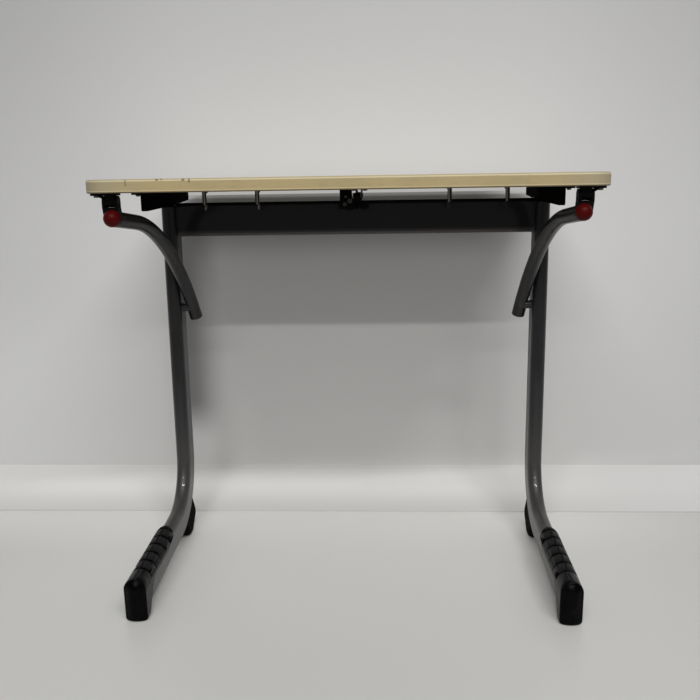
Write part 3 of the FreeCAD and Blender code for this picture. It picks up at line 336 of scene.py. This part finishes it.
def black_plastic(name, ribbed=False):
    """Glossy black with a fine grain. A shoe's top has domed plates between its grooves, their crests
    painted paler as a highlight, and a seam.
    """
    plastic = Finish(name)
    grain = plastic.noise(1300, 2)
    wear = plastic.noise(45, 5)
    scuffs = plastic.noise(60, 4, plastic.stretched(1, 0.12, 1)).rise(0.56, 0.78)
    near_floor = plastic.z.rise(0.05, 0.005)
    base = plastic.mix(wear.rise(0.35, 0.75), colour(2, 2, 3), colour(6, 6, 6))
    base = plastic.mix(scuffs * (0.04 + near_floor * 0.1), base, colour(60, 58, 56))
    roughness = 0.2 + wear * 0.12 + scuffs * 0.15
    relief = plastic.bump(grain, 0.00008, 0.3)
    if ribbed:
        low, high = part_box("foot_cap_right")
        across = abs(plastic.x) - (low.x + high.x) / 2
        along = (plastic.y - low.y - first_groove) / groove_pitch
        part = along.math("FRACT", along)
        plate = part * (1 - part) * 4
        on_top = abs(across).rise(*plate_sides) * along.rise(-0.02, 0) * along.rise(*plate_ends)
        seam = (across - (part - 0.5) * seam_zigzag).near(0, 0.0007, 0.0008)
        # Painted highlight: each plate's crest is lighter
        base = plastic.mix(on_top * plate.rise(0.25, 0.8) * 0.7, base, colour(40, 40, 40))
        base = plastic.mix(on_top * seam, base, colour(0, 0, 0))
        roughness = roughness + on_top * 0.18
        relief = plastic.bump(on_top * (plate - seam * 0.3) + grain * 0.05, 0.0024, 0.9)
    return plastic.shade(base_color=base, specular_ior_level=0.06, roughness=roughness, normal=relief)


def merged_copy(name):
    """A copy of a CAD piece with its loose triangles made whole again, ready to be shaped."""
    select_only(nodes[name])
    bpy.ops.object.duplicate()
    piece = bpy.context.active_object
    piece.parent = None
    for key in [key for key in piece.keys() if key.startswith("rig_")]:
        del piece[key]
    bpy.ops.object.mode_set(mode="EDIT")
    bpy.ops.mesh.select_all(action="SELECT")
    bpy.ops.mesh.remove_doubles(threshold=0.00001)
    bpy.ops.mesh.dissolve_limited(angle_limit=math.radians(1))
    bpy.ops.object.mode_set(mode="OBJECT")
    return piece


def select_faces(piece, wanted):
    """Go into edit mode with just the faces selected that are wanted."""
    bpy.ops.object.mode_set(mode="EDIT")
    bpy.ops.mesh.select_mode(type="FACE")
    bpy.ops.mesh.select_all(action="DESELECT")
    bpy.ops.object.mode_set(mode="OBJECT")
    for face in piece.data.polygons:
        face.select = wanted(face)
    bpy.ops.object.mode_set(mode="EDIT")


def cut_across(piece, wanted, place, direction):
    """Cut the wanted faces along one plane."""
    select_faces(piece, wanted)
    bpy.ops.mesh.bisect(plane_co=place, plane_no=direction)
    bpy.ops.object.mode_set(mode="OBJECT")


def shoe(name):
    """The foot cap with its flat front cut into a grid and domed, right down to its sole."""
    piece = merged_copy(name)
    low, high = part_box(name)
    middle = (low.x + high.x) / 2

    def in_front(face):
        return face.normal.y < -0.98 and face.center.y < low.y + 0.005

    for step in range(-columns_each_way, columns_each_way + 1):
        cut_across(piece, lambda face: True, (middle + step * grid, 0, 0), (1, 0, 0))
    for step in range(first_row, last_row + 1):
        cut_across(piece, in_front, (0, 0, step * grid), (0, 0, 1))
    vertices = piece.data.vertices
    front = [face for face in piece.data.polygons if in_front(face)]
    corners = [vertices[end].co for face in front for end in face.vertices]
    half = max(corner.x for corner in corners) - middle
    arch = max(corner.z for corner in corners) - half
    for vertex in vertices:
        share = max(0, 1 - math.hypot(vertex.co.x - middle, max(0, vertex.co.z - arch)) / half)
        behind = max(0, 1 - (vertex.co.y - low.y) / nose_length)
        vertex.co.y -= behind ** 2 * (dome * share * (2 - share) - nose_setback)
    return finished(name.replace("foot_cap", "shoe"), piece)


def matt_black():
    """The same black with a coarse, dull skin, as on the pieces that rub on floor and column."""
    plastic = Finish("matt_black")
    skin = plastic.noise(220, 4)
    dusty = plastic.z.rise(0.014, 0.002) * skin.rise(0.4, 0.7)
    base = plastic.mix(skin, colour(3, 3, 2), colour(16, 15, 13))
    return plastic.shade(
        base_color=plastic.mix(dusty * 0.3, base, colour(90, 86, 78)),
        specular_ior_level=0.01,
        roughness=0.55 + skin * 0.2,
        normal=plastic.bump(skin, 0.0003, 0.4),
    )


black = black_plastic("black_plastic")
ribbed_black = black_plastic("ribbed_black", ribbed=True)
dull_black = matt_black()
cover(black, *pair("column_plug"))
cover(dull_black, *pair("heel_glide"))
for name in pair("foot_cap"):
    belongs(shoe(name), "frame", ribbed_black, "black_plastic", name)


# ---- arms, bosses and ball caps ----
# A round tube runs from each column up and forward under the board, held off the column by a short round
# spacer. Its open front end is closed by a glossy red ball on a stub.

cover(paint_grey, *pair("arm"), *pair("arm_boss"))
boss_bead = 0.0028


def boss_weld(side):
    """The ring bead where the spacer meets the column's flat side."""
    low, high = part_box("arm_boss_right")
    middle = (low + high) / 2
    bpy.ops.mesh.primitive_circle_add(vertices=28, radius=(high.z - low.z) / 2,
                                      location=(side * high.x, middle.y, middle.z),
                                      rotation=(0, math.pi / 2, 0))
    return bead(boss_bead)


belongs(finished("boss_welds", *[boss_weld(side) for side in (-1, 1)]), "frame", paint_grey, "frame_paint")


def ball_red():
    """Deep red plastic with a slightly cloudy gloss, scuffed here and there."""
    red = Finish("red_plastic")
    cloud = red.noise(70, 3)
    rub = red.noise(400, 3).rise(0.58, 0.75)
    base = red.mix(cloud, colour(84, 9, 8), colour(60, 4, 4))
    return red.shade(
        base_color=red.mix(rub * 0.2, base, colour(120, 36, 32)),
        specular_ior_level=0.08,
        roughness=0.4 + rub * 0.2,
        normal=red.bump(cloud, 0.0002, 0.2),
    )


cover(ball_red(), *pair("ball_cap"))


# ---- tilt hinges ----
# A black enamelled steel post on each arm holds a zinc plated pin, and a steel leaf with a gusset turns on
# it. The leaf is screwed under the board.

def black_paint():
    """Satin black enamel on steel."""
    paint = Finish("black_paint")
    cloud = paint.noise(120, 3)
    return paint.shade(
        base_color=paint.mix(cloud, colour(6, 4, 3), colour(13, 10, 9)),
        specular_ior_level=0.1,
        roughness=0.34 + cloud * 0.14,
        normal=paint.bump(paint.noise(700), 0.0001, 0.3),
    )


def zinc_plate():
    """Zinc plated steel that has gone dull and stained."""
    steel = Finish("zinc")
    cloud = steel.noise(90, 4)
    stain = steel.noise(24, 4).rise(0.5, 0.75)
    base = steel.mix(cloud, colour(66, 65, 60), colour(96, 95, 88))
    return steel.shade(
        base_color=steel.mix(stain * 0.4, base, colour(52, 48, 42)),
        metallic=0.85,
        roughness=0.34 + cloud * 0.2,
        normal=steel.bump(steel.noise(900), 0.00006, 0.4),
    )


post_black = black_paint()
zinc = zinc_plate()
cover(post_black, *pair("hinge_saddle"), *pair("hinge_leaf"))
cover(zinc, *pair("hinge_pin"))


# ---- board ----
# A particle board slab, faced with melamine laminate above and below, with a khaki rim moulded round it.
# The rim has chips in its top arris. Its top arris and lower lip carry a painted highlight, and its lower
# edge a painted shade.

# Depths from the rim's top, heights from its bottom and depths from its front. A pair is a soft edge.
arris_highlight_depth = 0.0023
lip_highlight_height = 0.0027
underside_shade_heights = (0.0019, 0.0009)
front_depths = (0.004, 0.002)
# Chips in the top arris: place across, half width and depth
rim_chips = (
    (-0.288, 0.0004, 0.009),
    (-0.246, 0.0016, 0.0024),
    (-0.24, 0.001, 0.0016),
    (-0.211, 0.0018, 0.003),
    (-0.203, 0.0008, 0.005),
    (0.336, 0.0015, 0.003),
)
chip_edge = 0.0006


def rim_plastic():
    """Khaki plastic, greyer round its ends, with streaks along it, chips and scratches, a painted
    highlight on its top arris and lower lip, and painted shade under its lower edge.
    """
    rim = Finish("moulded_edge")
    low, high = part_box("edge_moulding")
    above = rim.z - low.z
    over_top = rim.z - high.z
    cloud = rim.noise(14, 4)
    streaks = rim.noise(30, 5, rim.stretched(1, 1, 14))
    ends = abs(rim.x).rise(high.x * 0.7, high.x)
    base = rim.mix(ends, colour(182, 164, 120), colour(170, 158, 130))
    base = rim.mix(cloud.rise(0.4, 0.8) * 0.3, base, colour(150, 140, 104))
    base = rim.mix(streaks.rise(0.6, 0.8) * 0.25, base, colour(132, 120, 88))
    # A painted highlight along the rounded top arris
    arris = over_top.near(-arris_highlight_depth, 0.0006, 0.0006)
    base = rim.mix(arris * 0.65, base, colour(222, 210, 174))
    # A painted highlight along the lower lip's rounding
    lip = above.near(lip_highlight_height, 0.0003, 0.0005)
    base = rim.mix(lip * 0.5, base, colour(222, 204, 160))
    # Painted shade under the rounded lower edge
    base = rim.mix(above.rise(*underside_shade_heights) * 0.85, base, colour(58, 46, 26))
    front = (rim.y - low.y).rise(*front_depths)
    ragged = rim.x + (rim.noise(900, 1) - 0.5) * 0.0016
    chips = 0
    for place, reach, depth in rim_chips:
        chips = chips + ragged.near(place, reach, chip_edge) * over_top.rise(-depth - chip_edge, -depth)
    base = rim.mix(chips * front * 0.75, base, colour(104, 76, 40))
    scratch = rim.noise(60, 3, rim.stretched(0.35, 1, 6)).near(0.5, 0.004, 0.006)
    base = rim.mix(scratch * front * 0.25, base, colour(120, 104, 70))
    return rim.shade(
        base_color=base,
        roughness=0.42 + streaks * 0.16,
        normal=rim.bump(rim.noise(350, 3), 0.0002, 0.25),
    )


def laminate():
    """Off-white melamine with a faint speckle."""
    sheet = Finish("laminate")
    speckle = sheet.cells(700).rise(0.55, 0.9)
    cloud = sheet.noise(7, 4)
    base = sheet.mix(cloud, colour(216, 212, 200), colour(226, 222, 210))
    return sheet.shade(
        base_color=sheet.mix(speckle * 0.25, base, colour(168, 160, 140)),
        roughness=0.46 + cloud * 0.12,
        normal=sheet.bump(sheet.noise(800, 2), 0.00008, 0.4),
    )


def particle_board():
    """Pressed wood chips, bare."""
    board = Finish("particle_board")
    chips = board.cells(420)
    base = board.mix(chips, colour(150, 118, 78), colour(192, 160, 112))
    return board.shade(base_color=base, roughness=0.8, normal=board.bump(chips, 0.0004, 0.5))


def backing():
    """The brown-grey backing sheet, which keeps the slab flat."""
    sheet = Finish("backing")
    cloud = sheet.noise(11, 4)
    return sheet.shade(
        base_color=sheet.mix(cloud, colour(66, 62, 57), colour(80, 75, 69)),
        roughness=0.55 + cloud * 0.12,
        normal=sheet.bump(sheet.noise(900, 2), 0.00008, 0.4),
    )


cover(rim_plastic(), "edge_moulding")
cover(laminate(), "top_laminate")
cover(backing(), "backing_laminate")
cover(particle_board(), "board_core")


# ---- rear carriers ----
# Black wedge mouldings screwed under the board, one over each column. A rubber disc let into each one
# lands on the column's plug.

cover(dull_black, *pair("rear_carrier"))


def buffer_rubber():
    """Soft black rubber, dusty grey."""
    rubber = Finish("buffer_rubber")
    return rubber.shade(
        base_color=rubber.mix(rubber.noise(160, 3), colour(28, 28, 28), colour(44, 43, 42)),
        roughness=0.75,
        normal=rubber.bump(rubber.noise(600), 0.0002, 0.4),
    )


cover(buffer_rubber(), *pair("carrier_buffer"))


# ---- tilt stay and its rail ----
# A black bracket on the beam holds a pin, on which a flat steel bar swings. The bar's far pin slides in
# the slots of a folded steel rail screwed under the board, and drops into their notches to hold a tilt.

cover(post_black, "stay_bracket", "tilt_stay")
cover(zinc, "stay_pivot_pin", "stay_slide_pin", "stay_rail")


# ---- latch ----
# A black housing under the board carries a small steel lever on a riveted pivot, with a stop pin. The
# lever's mouth catches a stud on the beam and keeps the board down.

cover(black, "latch_housing")
cover(post_black, "latch_lever")
cover(zinc, "lever_pivot", "lever_stop", "striker_stud")


# ---- bag hooks ----
# Four bent steel hooks, each screwed under the board in front of the beam. A pale line along the middle of
# each plate and prong is a painted highlight on the dark, tarnished steel.

# Across a hook: its plate's middle from its low side, and how far its prong's middle lies beyond that
plate_middle = 0.0035
prong_offset = 0.003
prong_heights = (0.0095, 0.0085)


def hook_steel(name):
    """Tarnished steel, with a painted highlight along the middle of plate and prong."""
    steel = Finish("steel_of_" + name)
    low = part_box(name)[0]
    above = steel.z - low.z
    cloud = steel.noise(90, 4)
    tarnish = steel.mix(cloud, colour(40, 37, 32), colour(66, 62, 54))
    middle = low.x + plate_middle + above.rise(*prong_heights) * prong_offset
    # A painted highlight along the middle of plate and prong
    painted_highlight_line = (steel.x - middle).near(0, 0.0005, 0.0011) * above.rise(0.001, 0.003)
    return steel.shade(
        base_color=steel.mix(painted_highlight_line * 0.75, tarnish, colour(186, 184, 174)),
        metallic=0.7,
        roughness=0.36 + cloud * 0.2 - painted_highlight_line * 0.1,
        normal=steel.bump(steel.noise(900), 0.00006, 0.4),
    )


for name in ["bag_hook_%d" % number for number in (1, 2, 3, 4)]:
    cover(hook_steel(name), name)


# ---- screws ----
# Zinc plated pan head wood screws with a cross recess, driven up into the slab through each fitting. The
# screws of like fittings are one group.

cover(zinc, "hinge_screws", "carrier_screws", "hook_screws", "rail_screws")


# ---- room ----
# A pale wall, a sloped cove along its foot and a pale floor. Each is a thin sheet that shows only from
# inside the room, and none of it belongs to the table.

room_width = 8
room_back = 4
floor_front = -1.1
cove_front = 0.161
cove_height = 0.053
lip = 0.003
lip_line = 0.0005
wall_y = 0.283
wall_height = 4
# The painted shadow of the board behind the beam, across and up, and the painted shadow of the left column
# on the wall just inside it
board_shadow_middle = -0.025
board_shadow_sides = (0.35, 0.25)
board_shadow_foot = (0.47, 0.58)
board_shadow_top = (0.6135, 0.612)
column_shadow_right = (-0.27, -0.35)
column_shadow_left = (-0.395, -0.37)
column_shadow_foot = (0.1, 0.2)
column_shadow_top = (0.6, 0.56)


def one_sided(finish):
    """Seen from outside, a sheet of the room isn't there, so it hides the table from no side."""
    outside = finish.node("ShaderNodeNewGeometry", output="Backfacing")
    skin = Value(finish, finish.tree.nodes["Principled BSDF"].outputs[0])
    clear = finish.node("ShaderNodeBsdfTransparent")
    both = finish.node("ShaderNodeMixShader", sockets={0: outside, 1: skin, 2: clear})
    finish.fill(finish.tree.nodes["Material Output"].inputs["Surface"], both)
    return finish.material


def floor_white():
    """Pale sheet flooring, with painted light: palest along the cove and in the middle, greyer to the
    right.
    """
    floor = Finish("floor_white")
    # Painted light: a pool paler in the middle, greyer to the right, palest by the cove
    painted_light_pool = floor.y.rise(-0.5, 0.12) * abs(floor.x).rise(0.75, 0.25)
    base = floor.mix(painted_light_pool, colour(221, 220, 217), colour(246, 245, 241))
    base = floor.mix(floor.x.rise(0.2, 0.7) * 0.5, base, colour(212, 211, 208))
    painted_cove_light = floor.y.rise(-0.05, 0.14) * floor.x.rise(0.8, 0.2)
    base = floor.mix(painted_cove_light * 0.5, base, colour(255, 254, 250))
    base = floor.mix(floor.noise(1.5) * 0.1, base, colour(228, 227, 224))
    floor.shade(base_color=base, roughness=0.35)
    return one_sided(floor)


def cove_white():
    """The same sheet carried up the wall's foot, with painted shade greying its bottom and ends, and a
    line on its lip.
    """
    cove = Finish("cove_white")
    # Painted shade at the cove's foot and towards its ends
    base = cove.mix(cove.z.rise(0.002, 0.03), colour(224, 223, 220), colour(250, 249, 246))
    base = cove.mix(cove.x.rise(0.15, 0.6) * 0.8, base, colour(226, 225, 223))
    base = cove.mix(cove.x.rise(-0.55, -0.8) * 0.4, base, colour(226, 225, 223))
    base = cove.mix(cove.z.rise(lip, lip - lip_line) * 0.3, base, colour(160, 158, 155))
    base = cove.mix(cove.noise(1.5) * 0.1, base, colour(232, 231, 228))
    cove.shade(base_color=base, roughness=0.6)
    return one_sided(cove)


def wall_white():
    """Off-white paint with painted light: duller higher up and to the sides, less so low on the left, and
    the painted shadows named above.
    """
    wall = Finish("wall_white")
    # Painted light: duller higher up and to the sides, less dull low on the left
    up = wall.z.rise(0.45, 1.15)
    base = wall.mix(up, colour(232, 231, 229), colour(190, 190, 190))
    low_left = wall.x.rise(0.1, 0) * wall.z.rise(0.5, 0.2)
    low_down = wall.mix(low_left, colour(205, 205, 204), colour(228, 228, 227))
    side = wall.mix(up, low_down, colour(173, 172, 172))
    base = wall.mix(abs(wall.x).rise(0.25, 0.8) * 0.7, base, side)
    base = wall.mix(wall.noise(2, 3) * 0.1, base, colour(206, 204, 201))
    # Painted shadow of the board on the wall behind the beam
    board_shadow = abs(wall.x - board_shadow_middle).rise(*board_shadow_sides) * wall.z.rise(*board_shadow_top)
    base = wall.mix(board_shadow * wall.z.rise(*board_shadow_foot) * 0.62, base, colour(6, 4, 4))
    # Painted shadow of the left column on the wall inside it
    strip = wall.x.rise(*column_shadow_right) * wall.x.rise(*column_shadow_left)
    strip = strip * wall.z.rise(*column_shadow_top) * wall.z.rise(*column_shadow_foot)
    base = wall.mix(strip * 0.7, base, colour(5, 5, 5))
    wall.shade(base_color=base, roughness=0.6)
    return one_sided(wall)


def room_sheet(name, front, back, material, *rises):
    """A level sheet of the room. With rises, its back edge is carried on, so much backwards and upwards
    each time, and the level strip that it started from is taken away."""
    bpy.ops.mesh.primitive_plane_add(size=1, location=(0, (front + back) / 2, 0))
    sheet = bpy.context.active_object
    sheet.scale = (room_width, back - front, 1)
    bpy.ops.object.transform_apply(location=False, rotation=False, scale=True)
    vertices = sheet.data.vertices
    for edge in sheet.data.edges:
        edge.select = all(vertices[end].co.y > 0 for end in edge.vertices)
    for vertex in vertices:
        vertex.select = vertex.co.y > 0
    for face in sheet.data.polygons:
        face.select = False
    bpy.ops.object.mode_set(mode="EDIT")
    bpy.ops.mesh.select_mode(type="EDGE")
    for rise in rises:
        bpy.ops.mesh.extrude_region_move(TRANSFORM_OT_translate={"value": (0, *rise)})
    bpy.ops.object.mode_set(mode="OBJECT")
    if rises:
        select_faces(sheet, lambda face: face.normal.z > 0.99)
        bpy.ops.mesh.delete(type="FACE")
        bpy.ops.object.mode_set(mode="OBJECT")
    sheet = finished(name, sheet)
    sheet.data.materials.append(material)


cove_rises = ((0, lip), (wall_y - cove_front, cove_height - lip))
room_sheet("floor", floor_front, room_back, floor_white())
room_sheet("cove", cove_front - lip, cove_front, cove_white(), *cove_rises)
room_sheet("wall", wall_y, wall_y + lip, wall_white(), (0, wall_height))


# ---- lamps ----
# Two rows of ceiling lamps, behind and above the viewer, throw the board's shadow on the wall in two
# steps. The rest of the room gives a dim, even glow.

ceiling = 2.7
lamp_length = 2.6
lamp_width = 0.06
lamps_aim = Vector((0, 0, 0.4))


def lamp(name, across, back, power):
    """A row of ceiling lamps, as one long flat panel turned towards the table."""
    light = bpy.data.lights.new(name, "AREA")
    light.shape = "RECTANGLE"
    light.size = lamp_length
    light.size_y = lamp_width
    light.energy = power
    holder = bpy.data.objects.new(name, light)
    bpy.context.scene.collection.objects.link(holder)
    holder.location = (across, back, ceiling)
    holder.rotation_euler = (lamps_aim - holder.location).to_track_quat("-Z", "Y").to_euler()


lamp("far_lamp", 0.2, -4.36, 40)
lamp("near_lamp", 0.3, -2.12, 54)
world = bpy.data.worlds.new("room_light")
bpy.context.scene.world = world
world.use_nodes = True
glow = world.node_tree.nodes["Background"].inputs
glow["Color"].default_value = colour(228, 228, 230)
glow["Strength"].default_value = 0.24
bpy.context.scene.view_settings.view_transform = "Standard"
